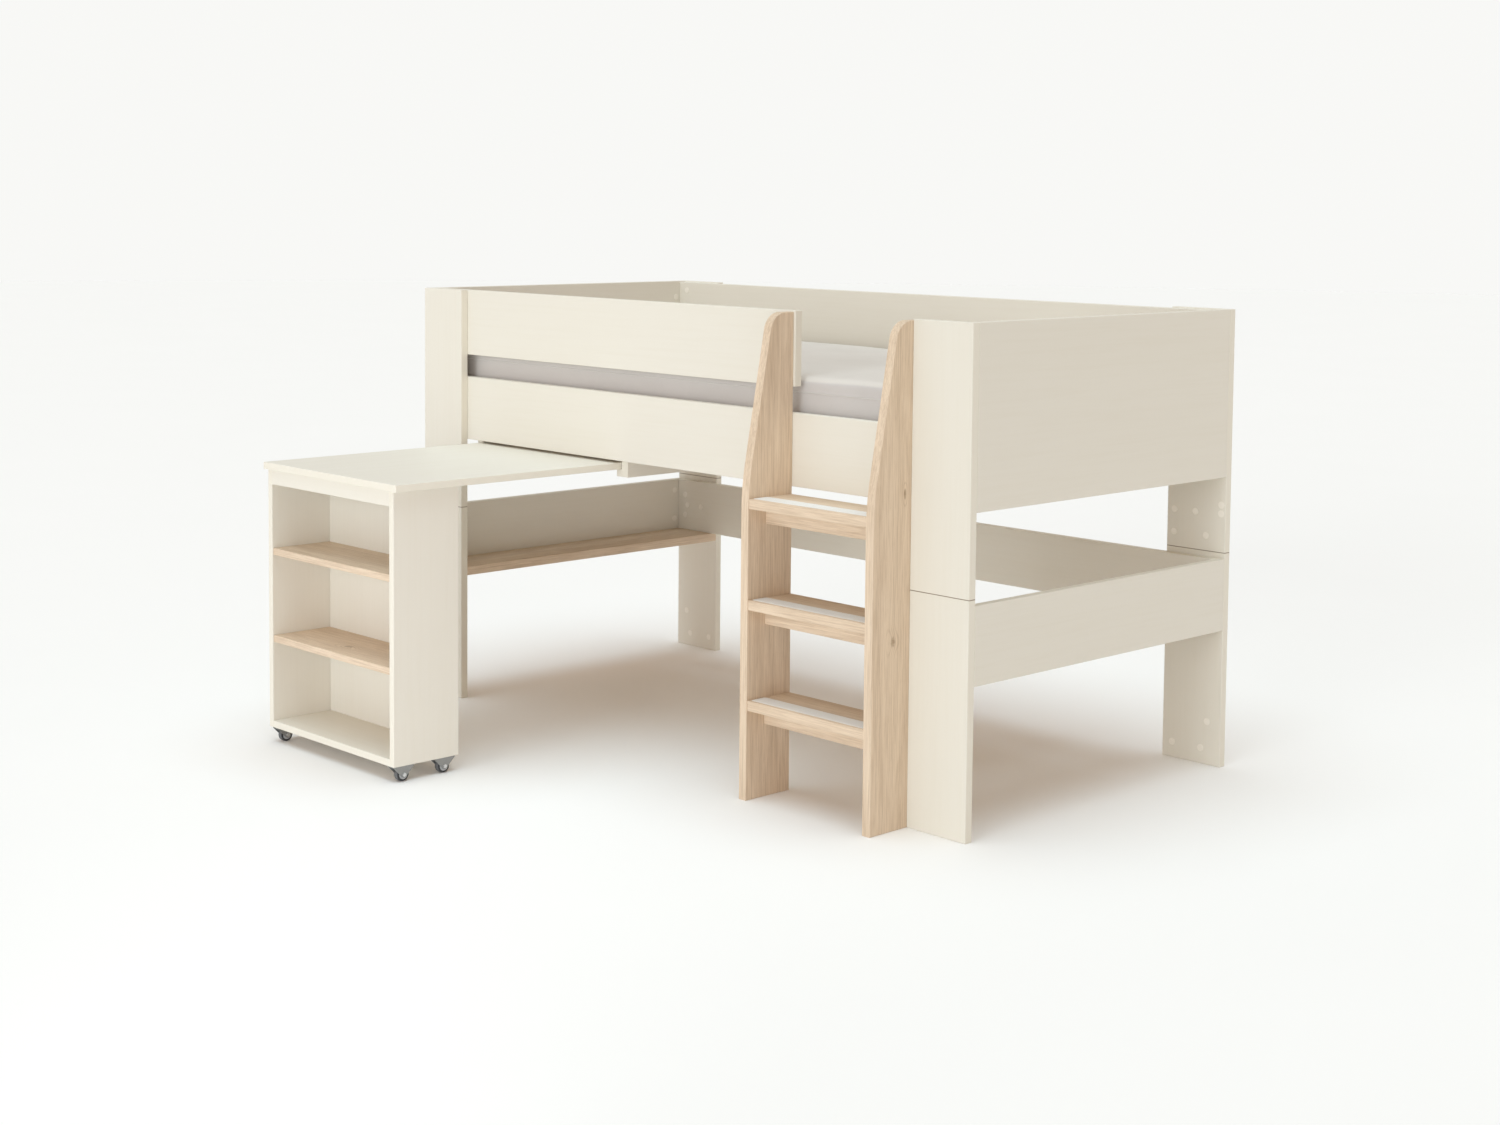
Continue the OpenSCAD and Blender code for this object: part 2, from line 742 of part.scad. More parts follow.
// A bolt through both cheeks, with a round head and a nut
module castor_axles() {
    color(steel) castor_places() {
        rod_x(-castor_w / 2 - 3, 0, axle_z, axle_r, castor_w + 6);
        rod_x(castor_w / 2, 0, axle_z, 5, 2.5);
        translate([-castor_w / 2 - 2.5, 0, axle_z]) rotate([0, 90, 0]) cylinder(r = 5.5, h = 2.5, $fn = 6);
    }
}

// Two screws up through the bracket's plate
module castor_screw_pair(gap) {
    for (y = [-castor_screw_y, castor_screw_y]) translate([0, y, case_z]) {
        translate([0, 0, -castor_sheet - gap]) cylinder(r = 1.5 + gap, h = 14 + gap);
        translate([0, 0, -castor_sheet - 1.6]) cylinder(r = 3.2, h = 1.6);
    }
}

module castor_screws() { color(steel) castor_places() castor_screw_pair(0); }

// A tyre with rounded shoulders, at castor i
module castor_tyre(i) {
    r = castor_d / 2;
    bore_r = hub_r + fixing_gap;
    w = wheel_w / 2;
    shoulder = 3;
    color("#3b3d3e") translate([castor_spots[i].x, castor_spots[i].y, axle_z]) rotate([0, 90, 0])
        rotate_extrude($fn = 72) polygon(concat(
            [[bore_r, -w], [r - shoulder, -w]],
            arc([r - shoulder, -w + shoulder], shoulder, -80, 0, 4),
            arc([r - shoulder, w - shoulder], shoulder, 0, 80, 4),
            [[r - shoulder, w], [bore_r, w]]
        ));
}

// A dished hub that runs on the axle
module castor_hub(i) {
    w = wheel_w / 2;
    color("#c9cbca") translate([castor_spots[i].x, castor_spots[i].y, axle_z]) rotate([0, 90, 0])
        rotate_extrude($fn = 72) polygon([
            [axle_r + fixing_gap, -w - 1.6], [6, -w - 1.6], [7, -w + 1.2], [hub_r - 2.4, -w + 1.2],
            [hub_r - 1.4, -w], [hub_r, -w], [hub_r, w], [hub_r - 1.4, w],
            [hub_r - 2.4, w - 1.2], [7, w - 1.2], [6, w + 1.6], [axle_r + fixing_gap, w + 1.6]
        ]);
}

module castor_tyre_front_left() { castor_tyre(0); }
module castor_hub_front_left() { castor_hub(0); }
module castor_tyre_front_right() { castor_tyre(1); }
module castor_hub_front_right() { castor_hub(1); }
module castor_tyre_rear_left() { castor_tyre(2); }
module castor_hub_rear_left() { castor_hub(2); }
module castor_tyre_rear_right() { castor_tyre(3); }
module castor_hub_rear_right() { castor_hub(3); }

post_front_left_lower();
post_front_left_upper();
post_front_right_lower();
post_front_right_upper();
post_rear_left_lower();
post_rear_left_upper();
post_rear_right_lower();
post_rear_right_upper();
end_panel_left();
end_panel_right();
end_rail_left();
end_rail_right();
rear_panel();
rear_stretcher();
side_rail();
guard_board();
end_shelf();
ladder_stile_left();
ladder_stile_right();
tread_1();
tread_2();
tread_3();
tread_apron_1();
tread_apron_2();
tread_apron_3();
anti_slip_strips();
bearer_front();
bearer_rear();
slats();
runner_left();
runner_right();
seam_dowels();
panel_dowels();
runner_dowels();
tread_dowels();
board_bolts();
ladder_bolts();
bearer_screws();
cover_caps();
mattress();
desk_top();
case_side_left();
case_side_right();
case_back();
case_bottom();
case_apron();
case_shelf_lower();
case_shelf_upper();
case_dowels();
castor_brackets();
castor_axles();
castor_screws();
castor_tyre_front_left();
castor_hub_front_left();
castor_tyre_front_right();
castor_hub_front_right();
castor_tyre_rear_left();
castor_hub_rear_left();
castor_tyre_rear_right();
castor_hub_rear_right();
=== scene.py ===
"""The looks of the loft bed with desk: materials for its parts, a simulated mattress, light and camera."""

import math

import bmesh
import bpy
from mathutils import Matrix, Vector
from mathutils.bvhtree import BVHTree


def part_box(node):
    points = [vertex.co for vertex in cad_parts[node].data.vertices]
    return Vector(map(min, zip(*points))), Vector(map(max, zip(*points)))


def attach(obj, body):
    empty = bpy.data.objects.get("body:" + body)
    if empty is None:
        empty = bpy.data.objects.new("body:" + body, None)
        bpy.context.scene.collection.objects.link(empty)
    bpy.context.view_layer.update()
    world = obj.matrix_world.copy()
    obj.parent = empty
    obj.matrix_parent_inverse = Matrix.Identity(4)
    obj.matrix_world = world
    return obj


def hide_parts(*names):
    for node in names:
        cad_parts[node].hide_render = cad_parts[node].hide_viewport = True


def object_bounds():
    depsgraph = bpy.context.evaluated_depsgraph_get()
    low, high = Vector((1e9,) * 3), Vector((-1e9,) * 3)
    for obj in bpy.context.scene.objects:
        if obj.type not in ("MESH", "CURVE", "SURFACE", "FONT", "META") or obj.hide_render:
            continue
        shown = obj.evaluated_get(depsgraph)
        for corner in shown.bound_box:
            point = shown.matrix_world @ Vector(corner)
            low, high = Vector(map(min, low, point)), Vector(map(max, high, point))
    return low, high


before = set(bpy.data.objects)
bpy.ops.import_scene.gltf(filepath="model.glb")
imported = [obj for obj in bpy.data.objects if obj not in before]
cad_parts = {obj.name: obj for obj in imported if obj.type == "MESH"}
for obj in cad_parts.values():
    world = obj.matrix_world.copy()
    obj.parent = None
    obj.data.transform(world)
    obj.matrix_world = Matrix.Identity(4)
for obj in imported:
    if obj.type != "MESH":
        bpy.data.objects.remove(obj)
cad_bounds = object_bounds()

MM = 0.001
X, Y, Z = range(3)
UP = Vector((0, 0, 1))

# ---- Camera and light ----
CAMERA_AT = Vector((4.152, -3.827, 1.441))
CAMERA_AZIMUTH = 46.32
CAMERA_ELEVATION = 4.01
CAMERA_ROLL = 0.52
CAMERA_LENS = 52.54
SENSOR_WIDTH = 36
CAMERA_SHIFT_UP = -0.1437
# What the camera sees behind the floor, and the even light that comes from all round
BACKDROP = (0.94, 0.94, 0.92)
SKY_FILL = (1.0, 0.81, 0.67)
SKY_STRENGTH = 0.52
# Each far lamp: its strength, its colour, the way to it, and how wide it looks, in degrees
FAR_LAMPS = {
    "front_softbox": (1.035, (0.845, 0.94, 1.0), (0.06, -0.36, 0.05), 30),
    "top_softbox": (1.98, (0.68, 0.88, 1.0), (0.05, -0.10, 1.0), 60),
}
# A narrow softbox beside the desk: power, colour, place, what it points at, size, and spread in degrees
DESK_LAMP = (2.08, (0.865, 0.895, 1.0), Vector((1.6, -2.6, 0.6)), Vector((-0.5, -0.6, 0.3)), 1.2, 60)
FLOOR_RADIUS = 30
FLOOR_DROP = 0.2 * MM
FLOOR_CLOUDS = 0.8

# ---- Colours, linear ----
CREAM = (0.815, 0.775, 0.685)
CREAM_STREAK = (0.79, 0.745, 0.645)
CREAM_EDGE = (0.835, 0.79, 0.685)
JOINT_LINE = (0.22, 0.14, 0.08)
OAK_LIGHT = (0.825, 0.665, 0.50)
OAK_DARK = (0.56, 0.415, 0.285)
OAK_KNOT = (0.36, 0.24, 0.145)
PINE_LIGHT = (0.80, 0.63, 0.41)
PINE_DARK = (0.62, 0.42, 0.22)
BEECH_LIGHT = (0.70, 0.50, 0.32)
BEECH_DARK = (0.55, 0.36, 0.21)
# The cover's colours, top then sides. The sides' greyer colours are partly a greyer border fabric and partly
# painted shade, as they go by which way the surface faces. Each darker tone is painted shade in the knit's
# troughs, mixed with a random cloudy tone.
FABRIC = (0.735, 0.685, 0.625)
FABRIC_SHADE = (0.65, 0.605, 0.545)
BORDER_AND_SIDE_SHADE = (0.625, 0.585, 0.56)
BORDER_SHADE = (0.55, 0.515, 0.49)
# The piping's painted shade, in the grooves of its twist
PIPING_GROOVE_SHADE = (0.66, 0.64, 0.63)
STEEL_SCUFF = (0.52, 0.53, 0.53)
# Each pair is a surface's darker and lighter tone
ZINC = ((0.62, 0.63, 0.63), (0.78, 0.79, 0.80))
STEEL = ((0.28, 0.282, 0.276), (0.37, 0.372, 0.365))
TYRE_WALL = ((0.022, 0.023, 0.025), (0.045, 0.047, 0.05))
TYRE_TREAD = ((0.10, 0.103, 0.107), (0.17, 0.175, 0.18))
HUB = ((0.50, 0.51, 0.52), (0.60, 0.61, 0.61))
CAP = ((0.89, 0.84, 0.74), (0.93, 0.89, 0.81))
FLOOR = ((0.97, 0.95, 0.925), (0.985, 0.965, 0.94))
# The film's colour on the raised grit, its darker colour between the grit where the film lies lowest, and
# where feet have worn it
FILM = (0.93, 0.92, 0.90)
FILM_BETWEEN_GRIT = (0.84, 0.82, 0.78)
FILM_WORN = (0.82, 0.78, 0.71)

# The size of the waves in a board's growth rings
FIGURE_SIZE = 60 * MM
WOOD_RELIEF = 0.09 * MM
KNIT_PITCH = 2.4 * MM
TWIST_PITCH = 3 * MM
# Boards whose grain doesn't run along their longest side
GRAIN_ALONG = {"slats": Y}


class Shading:
    """One material's node tree, built with short calls."""

    def __init__(self, name, **shader):
        self.material = bpy.data.materials.new(name)
        self.material.use_nodes = True
        self.tree = self.material.node_tree
        self.shader = self.tree.nodes["Principled BSDF"]
        self.where = self.add("ShaderNodeTexCoord").outputs
        for socket, value in shader.items():
            self.shader.inputs[socket.replace("_", " ")].default_value = value

    def add(self, kind, inputs=(), **settings):
        """A new node, with its settings and its inputs, each a value or another node's output."""
        node = self.tree.nodes.new(kind)
        for name, value in settings.items():
            setattr(node, name, value)
        for socket, value in dict(inputs).items():
            self.feed(node.inputs[socket], value)
        return node

    def feed(self, socket, value):
        if isinstance(value, bpy.types.NodeSocket):
            self.tree.links.new(value, socket)
        else:
            socket.default_value = value

    def math(self, operation, a, b=0.0):
        return self.add("ShaderNodeMath", {0: a, 1: b}, operation=operation).outputs[0]

    def vector(self, operation, a, b):
        return self.add("ShaderNodeVectorMath", {0: a, 1: b}, operation=operation).outputs[0]

    def length(self, a):
        return self.add("ShaderNodeVectorMath", {0: a}, operation="LENGTH").outputs["Value"]

    def noise(self, at, size, detail=3, roughness=0.55):
        """Noise from 0 to 1 whose largest features are about size metres across."""
        inputs = {"Vector": at, "Scale": 1 / size, "Detail": detail, "Roughness": roughness}
        return self.add("ShaderNodeTexNoise", inputs).outputs["Fac"]

    def cells(self, at, size):
        """The distance to the nearest of many scattered points, from 0 to about 1."""
        return self.add("ShaderNodeTexVoronoi", {"Vector": at, "Scale": 1 / size}).outputs["Distance"]

    def spread(self, value, low, high, to_low=0.0, to_high=1.0):
        """Maps low..high smoothly to to_low..to_high, and holds it beyond."""
        inputs = {"Value": value, "From Min": low, "From Max": high, "To Min": to_low, "To Max": to_high}
        return self.add("ShaderNodeMapRange", inputs, interpolation_type="SMOOTHSTEP").outputs["Result"]

    def mix(self, share, a, b):
        """Colour a turning to colour b as share goes from 0 to 1."""
        node = self.add("ShaderNodeMix", data_type="RGBA")
        self.feed(node.inputs["Factor"], share)
        colours = [s for s in node.inputs if s.type == "RGBA"]
        for socket, colour in zip(colours, (a, b)):
            self.feed(socket, colour if isinstance(colour, bpy.types.NodeSocket) else (*colour, 1))
        return next(s for s in node.outputs if s.type == "RGBA")

    def along_grain(self, along, seed, stretch):
        """Object coordinates with Z along the grain, pressed together there by stretch, and moved by seed."""
        parts = self.parts()
        across = [axis for axis in (X, Y, Z) if axis != along]
        turned = self.add("ShaderNodeCombineXYZ", {0: parts[across[0]], 1: parts[across[1]], 2: parts[along]})
        moved = self.vector("ADD", turned.outputs[0], (seed * 1.37, seed * 0.71, seed * 2.9))
        return self.vector("MULTIPLY", moved, (1, 1, 1 / stretch))

    def parts(self, space="Object"):
        """The surface's place, or its normal, as three outputs."""
        return self.add("ShaderNodeSeparateXYZ", {0: self.where[space]}).outputs

    def facing(self, axis):
        """How far the surface faces along an axis of the object, from 0 to 1."""
        return self.math("ABSOLUTE", self.parts("Normal")[axis])

    def finish(self, colour, roughness=None, height=None, relief=0.0):
        """Wires the shader: colour, roughness, and a bump whose height is relief metres."""
        self.feed(self.shader.inputs["Base Color"], colour)
        if roughness is not None:
            self.feed(self.shader.inputs["Roughness"], roughness)
        if height is not None:
            bump = self.add("ShaderNodeBump", {"Height": height, "Distance": relief, "Strength": 1.0})
            self.feed(self.shader.inputs["Normal"], bump.outputs["Normal"])
        return self.material


# ---- Materials ----

def cream_board(name, along, thin, seed):
    """Matt cream foil with a faint pressed grain, and warmer edge bands on the narrow sides."""
    s = Shading(name, IOR=1.45)
    fibre = s.noise(s.along_grain(along, seed, 30), 9 * MM, 5, 0.6)
    broad = s.noise(s.along_grain(along, seed, 8), 90 * MM, 2)
    streak = s.spread(fibre, 0.42, 0.72, 0.0, 0.35)
    streak = s.math("ADD", streak, s.spread(broad, 0.35, 0.75, 0.0, 0.25))
    face = s.mix(streak, CREAM, CREAM_STREAK)
    band = s.mix(s.math("MULTIPLY", streak, 0.5), CREAM_EDGE, CREAM_STREAK)
    colour = s.mix(s.spread(s.facing(thin), 0.3, 0.8), band, face)
    joint = post_joint(name.split(".")[-1])
    if joint is not None:
        off = s.math("ABSOLUTE", s.math("SUBTRACT", s.parts()[Z], joint))
        colour = s.mix(s.spread(off, 0.5 * MM, 1.4 * MM, 0.85, 0.0), colour, JOINT_LINE)
    pores = s.noise(s.along_grain(along, seed, 22), 1.6 * MM, 3)
    return s.finish(colour, s.spread(fibre, 0.3, 0.7, 0.46, 0.56), pores, 0.05 * MM)


def post_joint(node):
    """The height at which the two boards of a post meet, or None for any other board."""
    if not node.startswith("post_"):
        return None
    low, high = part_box(node)
    return low.z if node.endswith("upper") else high.z


def knot_shade(s, knots, wider=1):
    """How near the surface is to a knot, from 0 to 1. Each knot is a place and its reach each way."""
    near = None
    for place, reach in knots:
        reach = [size * wider for size in reach]
        off = s.vector("DIVIDE", s.vector("SUBTRACT", s.where["Object"], place), reach)
        one = s.spread(s.length(off), 0.0, 1.0, 1.0, 0.0)
        near = one if near is None else s.math("MAXIMUM", near, one)
    return near


def wood(name, along, seed, light, dark, knots=(), ring_gap=9 * MM, contrast=1.0):
    """Straight-grained wood: growth rings, long fibres, short pores, and knots that the grain runs round."""
    s = Shading(name, IOR=1.46)
    figure = s.noise(s.along_grain(along, seed, 18), FIGURE_SIZE, 1, 0.4)
    if knots:
        around = knot_shade(s, knots, wider=2.2)
        figure = s.math("ADD", figure, s.math("MULTIPLY", around, 0.13))
    rings = 2.2 * FIGURE_SIZE / ring_gap
    late_wood = s.spread(s.math("SINE", s.math("MULTIPLY", figure, 2 * math.pi * rings)), 0.1, 1.0)
    broad = s.noise(s.along_grain(along, seed, 14), 30 * MM, 3)
    fibre = s.noise(s.along_grain(along, seed, 45), 3.2 * MM, 4, 0.65)
    fine = s.noise(s.along_grain(along, seed, 30), 1.6 * MM, 3, 0.6)
    pore = s.spread(s.noise(s.along_grain(along, seed, 16), 1.5 * MM, 2), 0.60, 0.74)
    tone = s.math("MULTIPLY", late_wood, 0.13 * contrast)
    tone = s.math("ADD", tone, s.spread(broad, 0.38, 0.62, 0.0, 0.22 * contrast))
    tone = s.math("ADD", tone, s.spread(fibre, 0.40, 0.64, 0.0, 0.36 * contrast))
    tone = s.math("ADD", tone, s.spread(fine, 0.4, 0.7, 0.0, 0.3 * contrast))
    tone = s.math("ADD", tone, s.math("MULTIPLY", pore, 0.25 * contrast))
    if knots:
        tone = s.math("ADD", tone, s.math("MULTIPLY", s.math("MULTIPLY", around, late_wood), 0.45))
    colour = s.mix(tone, light, dark)
    if knots:
        cracks = s.spread(s.noise(s.where["Object"], 6 * MM, 4, 0.7), 0.36, 0.6, 0.4, 1.0)
        heart = s.math("MULTIPLY", s.spread(knot_shade(s, knots), 0.2, 0.9), cracks)
        colour = s.mix(s.math("MULTIPLY", heart, 0.8), colour, OAK_KNOT)
    return s.finish(colour, s.spread(fibre, 0.3, 0.7, 0.42, 0.56), s.math("SUBTRACT", fine, pore), WOOD_RELIEF)


def oak_knots(node):
    """The knots that show: two on the right ladder stile and one on the lower bookcase shelf."""
    low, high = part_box(node)
    found = {
        "ladder_stile_right": [
            ((high.x, low.y + 69 * MM, 0.436), (15 * MM, 15 * MM, 22 * MM)),
            ((high.x, low.y + 102 * MM, 0.769), (7 * MM, 7 * MM, 20 * MM)),
        ],
        "case_shelf_lower": [
            ((low.x + 251 * MM, low.y + 65 * MM, high.z), (26 * MM, 20 * MM, 14 * MM)),
        ],
    }
    return found.get(node, ())


def oak_board(name, along, thin, seed):
    return wood(name, along, seed, OAK_LIGHT, OAK_DARK, oak_knots(name.split(".")[-1]))


def pine_wood(name, along, thin, seed):
    return wood(name, along, seed, PINE_LIGHT, PINE_DARK, ring_gap=10 * MM, contrast=1.2)


def beech_dowel(name, along, thin, seed):
    return wood(name, along, seed, BEECH_LIGHT, BEECH_DARK, ring_gap=4 * MM, contrast=0.8)


def zinc_steel(name, along, thin, seed):
    """Bright zinc plating with fine turning marks."""
    s = Shading(name, Metallic=1.0)
    cloud = s.noise(s.where["Object"], 4 * MM, 3)
    marks = s.noise(s.along_grain(X, seed, 0.2), 0.6 * MM, 2)
    colour = s.mix(cloud, *ZINC)
    return s.finish(colour, s.spread(cloud, 0.3, 0.7, 0.22, 0.38), marks, 0.02 * MM)


def castor_steel(name, along, thin, seed):
    """Pressed sheet steel with a dull grey finish, and scuffs."""
    s = Shading(name, Metallic=0.75)
    cloud = s.noise(s.where["Object"], 9 * MM, 4)
    scuff = s.spread(s.noise(s.along_grain(Y, seed, 6), 1.2 * MM, 3), 0.62, 0.72)
    colour = s.mix(cloud, *STEEL)
    colour = s.mix(s.math("MULTIPLY", scuff, 0.5), colour, STEEL_SCUFF)
    return s.finish(colour, s.spread(cloud, 0.3, 0.7, 0.34, 0.5), cloud, 0.04 * MM)


def tyre_rubber(name, along, thin, seed):
    """Dark rubber sidewalls, and a paler, dusty tread."""
    s = Shading(name, IOR=1.5)
    dust = s.noise(s.where["Object"], 3 * MM, 4)
    tread = s.spread(s.facing(X), 0.75, 0.35)
    wall = s.mix(dust, *TYRE_WALL)
    worn = s.mix(dust, *TYRE_TREAD)
    grain = s.noise(s.where["Object"], 0.5 * MM, 2)
    return s.finish(s.mix(tread, wall, worn), s.spread(dust, 0.3, 0.7, 0.5, 0.72), grain, 0.05 * MM)


def hub_plastic(name, along, thin, seed):
    """Pale grey moulded plastic with a fine spark-eroded texture."""
    s = Shading(name, IOR=1.49)
    cloud = s.noise(s.where["Object"], 5 * MM, 3)
    roughness = s.spread(cloud, 0.3, 0.7, 0.28, 0.42)
    sparks = s.cells(s.where["Object"], 0.4 * MM)
    return s.finish(s.mix(cloud, *HUB), roughness, sparks, 0.02 * MM)


def cap_plastic(name, along, thin, seed):
    """Cream plastic cover caps, a shade glossier than the boards."""
    s = Shading(name, IOR=1.47)
    cloud = s.noise(s.where["Object"], 6 * MM, 3)
    colour = s.mix(cloud, *CAP)
    return s.finish(colour, s.spread(cloud, 0.3, 0.7, 0.30, 0.42), cloud, 0.02 * MM)


def anti_slip_film(name, along, thin, seed):
    """Milky film with a fine grit, and slightly worn patches where feet land."""
    s = Shading(name, IOR=1.5)
    grit = s.cells(s.where["Object"], 1.1 * MM)
    worn = s.spread(s.noise(s.where["Object"], 45 * MM, 3), 0.45, 0.7)
    # Darker between the grit, where the bump is lowest
    colour = s.mix(s.spread(grit, 0.1, 0.7), FILM, FILM_BETWEEN_GRIT)
    colour = s.mix(s.math("MULTIPLY", worn, 0.3), colour, FILM_WORN)
    return s.finish(colour, s.spread(grit, 0.1, 0.7, 0.45, 0.7), s.math("SUBTRACT", 1.0, grit), 0.3 * MM)


def mattress_fabric():
    """A white knitted cover whose sides, found by which way the surface faces, are greyer: partly a greyer
    border fabric, partly painted shade. Two crossed sets of fine ribs with painted shade in their troughs, and
    a little fuzz.
    """
    s = Shading("mattress_fabric.cover", IOR=1.4, Sheen_Weight=0.3, Sheen_Roughness=0.5)
    parts = s.parts()
    turn = 2 * math.pi / KNIT_PITCH
    warp = s.math("SINE", s.math("MULTIPLY", s.math("ADD", parts[X], parts[Z]), turn))
    weft = s.math("SINE", s.math("MULTIPLY", s.math("ADD", parts[Y], parts[Z]), turn))
    knit = s.math("MULTIPLY", s.math("ADD", warp, weft), 0.5)
    fuzz = s.noise(s.where["Object"], 1.3 * MM, 3)
    cloud = s.noise(s.where["Object"], 160 * MM, 4)
    # Painted shade: darker in the troughs of the knit's ribs, where the bump is lowest, plus a random cloudy
    # tone
    shade = s.math("ADD", s.spread(knit, -1, 1, 0.45, 0.0), s.spread(cloud, 0.4, 0.7, 0.0, 0.3))
    height = s.math("ADD", s.math("MULTIPLY", knit, 0.5), fuzz)
    top = s.spread(s.facing(Z), 0.35, 0.75)
    # Painted shade: surfaces that face sideways take the greyer side colours, partly a greyer border fabric
    # and partly painted shade
    colour = s.mix(top, s.mix(shade, BORDER_AND_SIDE_SHADE, BORDER_SHADE), s.mix(shade, FABRIC, FABRIC_SHADE))
    return s.finish(colour, s.spread(fuzz, 0.3, 0.7, 0.75, 0.95), height, 0.25 * MM)


def seam_thread():
    """White twisted piping, with painted shade in the grooves of its twist."""
    s = Shading("mattress_fabric.seam", IOR=1.4, Sheen_Weight=0.2)
    parts = s.parts()
    slant = s.math("ADD", s.math("ADD", parts[X], parts[Y]), parts[Z])
    twist = s.math("SINE", s.math("MULTIPLY", slant, 2 * math.pi / TWIST_PITCH))
    # Painted shade: darker in the twist's grooves, where the bump is lowest
    colour = s.mix(s.spread(twist, -1, 1), PIPING_GROOVE_SHADE, FABRIC)
    return s.finish(colour, s.spread(twist, -1, 1, 0.9, 0.75), twist, 0.3 * MM)


def paint_cad_nodes():
    """Gives every CAD node of a finish listed here its own material, with the grain along the board and a
    different piece of wood.
    """
    makers = {maker.__name__: maker for maker in (
        cream_board, oak_board, pine_wood, beech_dowel, zinc_steel, castor_steel,
        tyre_rubber, hub_plastic, cap_plastic, anti_slip_film,
    )}
    for seed, (name, node) in enumerate(sorted(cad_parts.items())):
        kind = node.data.materials[0].name.split(".")[0]
        if kind not in makers:
            continue
        low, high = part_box(name)
        sides = list(high - low)
        along = GRAIN_ALONG.get(name, sides.index(max(sides)))
        thin = sides.index(min(sides))
        node.data.materials[0] = makers[kind](f"{kind}.{name}", along, thin, seed)


# ---- New objects ----

def put_in_scene(name, data):
    """A new object in the scene that holds data."""
    thing = bpy.data.objects.new(name, data)
    bpy.context.scene.collection.objects.link(thing)
    return thing


def put_mesh(name, bm):
    """Turns a bmesh into an object in the scene."""
    mesh = bpy.data.meshes.new(name)
    bm.to_mesh(mesh)
    bm.free()
    return put_in_scene(name, mesh)


# ---- Mattress ----
VOXEL = 10 * MM
START_MARGIN = Vector((5, 5, 0)) * MM
EDGE_ROUND = 14 * MM
EDGE_SEGMENTS = 5
CLOTH_FRAMES = 20
CLOTH_SETTINGS = {
    "quality": 5,
    "mass": 0.4,
    "tension_stiffness": 15,
    "compression_stiffness": 15,
    "bending_stiffness": 2,
    "use_pressure": True,
    "uniform_pressure_force": 4,
}
# How far the cover may swell from where it starts, and stand out past the CAD box at its sides and top
SWELL_CAP = 9 * MM
SIDE_CAP = 2.5 * MM
TOP_CAP = 3 * MM
CROWN = 5 * MM
# The crown's powers along X and Y: a higher one keeps it level closer to the edge
CROWN_POWERS = (6, 4)
CREASE_DEPTH = 2.2 * MM
# The two crossed waves of the creases: radians a metre, the bend, and the bend's radians a metre
CREASES = ((9.1, 1.7, 6.3), (11.7, 2.1, 4.9))
PIPING_RADIUS = 1.2 * MM
PIPING_SIDES = 8
# How high the piping runs, as shares of the mattress's height, and the rays that find its way round
SEAM_HEIGHTS = (0.22, 0.76)
PERIMETER_RAYS = 420
RAY_MARGIN = 40 * MM
NEARLY_ZERO = 1e-6


def apply_modifier(piece, name):
    with bpy.context.temp_override(object=piece, active_object=piece):
        bpy.ops.object.modifier_apply(modifier=name)


def mattress_blank():
    """The mattress before it swells: its CAD box, a little wider and longer, with round edges."""
    low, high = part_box("mattress")
    low = low - START_MARGIN
    high = high + START_MARGIN
    bm = bmesh.new()
    bmesh.ops.create_cube(bm, size=1)
    for v in bm.verts:
        v.co = Vector([low[i] + (v.co[i] + 0.5) * (high[i] - low[i]) for i in (X, Y, Z)])
    bmesh.ops.bevel(
        bm, geom=bm.edges[:], offset=EDGE_ROUND, segments=EDGE_SEGMENTS, profile=0.5, affect="EDGES"
    )
    piece = put_mesh("mattress_cover", bm)
    remesh = piece.modifiers.new("remesh", "REMESH")
    remesh.mode = "VOXEL"
    remesh.voxel_size = VOXEL
    apply_modifier(piece, "remesh")
    return piece


def inflate(piece):
    """Swells the piece as cloth under pressure, and keeps every point within the caps."""
    start = [v.co.copy() for v in piece.data.vertices]
    cloth = piece.modifiers.new("cloth", "CLOTH")
    for name, value in CLOTH_SETTINGS.items():
        setattr(cloth.settings, name, value)
    cloth.settings.effector_weights.gravity = 0
    cloth.collision_settings.use_collision = False
    for step in range(1, CLOTH_FRAMES + 1):
        bpy.context.scene.frame_set(step)
    apply_modifier(piece, "cloth")
    bpy.context.scene.frame_set(1)
    for v, before in zip(piece.data.vertices, start):
        move = v.co - before
        if move.length > SWELL_CAP:
            move = move * (SWELL_CAP / move.length)
        v.co = before + move


def shape_mattress(piece):
    """Lays the underside flat, crowns the top, and holds the sides clear of the boards."""
    low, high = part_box("mattress")
    middle = (low + high) / 2
    half = (high - low) / 2
    for v in piece.data.vertices:
        for axis in (X, Y):
            v.co[axis] = min(max(v.co[axis], low[axis] - SIDE_CAP), high[axis] + SIDE_CAP)
        across = 1 - ((v.co.y - middle.y) / half.y) ** CROWN_POWERS[Y]
        length = 1 - ((v.co.x - middle.x) / half.x) ** CROWN_POWERS[X]
        share = (v.co.z - low.z) / (high.z - low.z)
        v.co.z = min(v.co.z, high.z + TOP_CAP)
        v.co.z += CROWN * max(across, 0) * max(length, 0) * max(share, 0) ** 2
        v.co.z = max(v.co.z, low.z)


def crease(x, y):
    """How high a crease stands at a place, from -1 to 1."""
    height = 1
    for (rate, bend, bend_rate), along, across in zip(CREASES, (x, y), (y, x)):
        height *= math.sin(along * rate + bend * math.sin(across * bend_rate))
    return height


def smooth_cover(piece):
    """One subdivision, then shallow creases in the cover."""
    subdivide = piece.modifiers.new("subdivide", "SUBSURF")
    subdivide.levels = 1
    apply_modifier(piece, "subdivide")
    low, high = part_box("mattress")
    for v in piece.data.vertices:
        rise = min(max((v.co.z - low.z) / (high.z - low.z), 0), 1)
        v.co.z += CREASE_DEPTH * crease(v.co.x, v.co.y) * rise ** 2
    for face in piece.data.polygons:
        face.use_smooth = True


